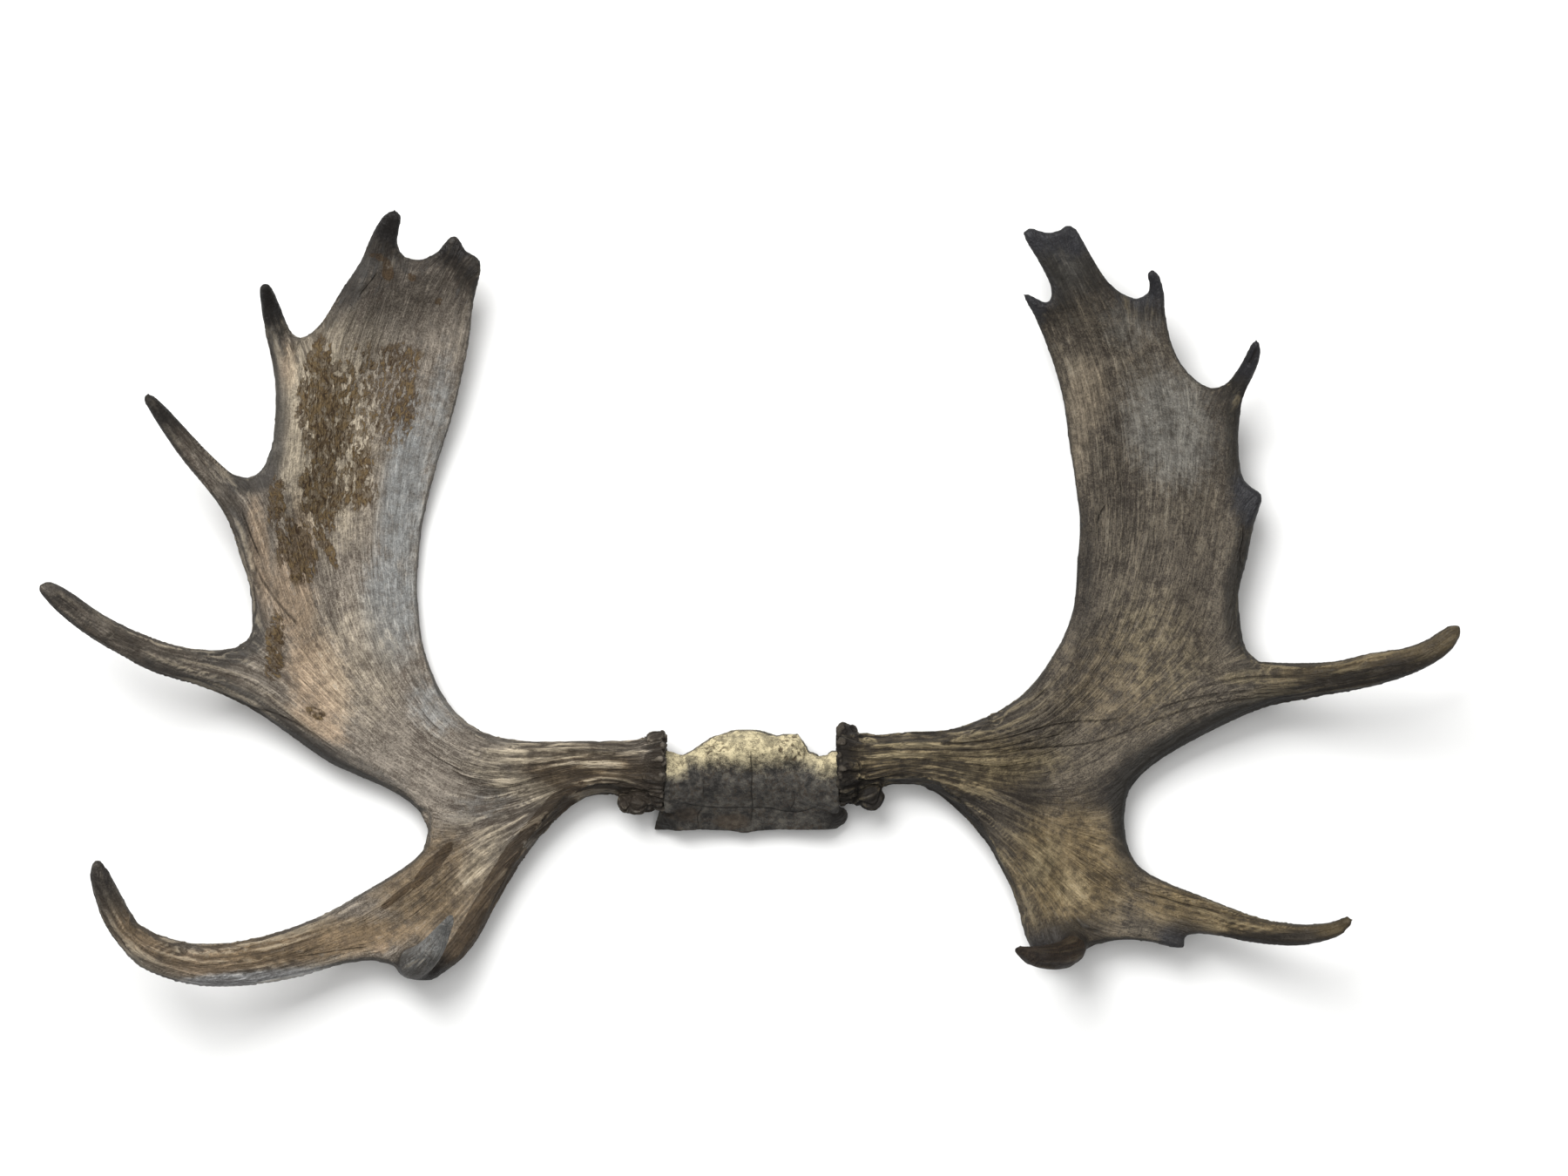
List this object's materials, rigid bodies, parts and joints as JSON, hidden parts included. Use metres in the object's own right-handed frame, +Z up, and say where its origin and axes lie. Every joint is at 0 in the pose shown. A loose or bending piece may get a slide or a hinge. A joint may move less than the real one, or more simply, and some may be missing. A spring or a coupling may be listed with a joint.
{
  "type": "pair of moose antlers on a skull plate",
  "caption": "Pair of palmated moose antlers with brow palms and tines, joined by nature to a sawn skull plate and lying on their backs with the cupped faces up.",
  "frame": {"origin": "middle of the flat sawn back of the skull plate, which lies on the surface that the antlers rest on", "axes": "+X across the spread, +Y along the standing palms, +Z up from the surface, out of the cupped faces of the palms"},
  "size_m": [1.276, 0.7032, 0.1741],
  "materials": {
    "skull_bone": "dry weathered skull bone, greenish cream on the crest, grey and cracked below",
    "left_antler_bone": "dry antler, grey-beige with fine streaks along the growth, brown remains of velvet and dark tine tips",
    "right_antler_bone": "dry antler, grey-brown with fine streaks along the growth, dark grooves and tine tips"
  },
  "bodies": {
    "root": {"skull_plate": "skull_bone", "left_main_palm": "left_antler_bone", "left_brow_palm": "left_antler_bone", "right_main_palm": "right_antler_bone", "right_brow_palm": "right_antler_bone"}
  },
  "joints": []
}
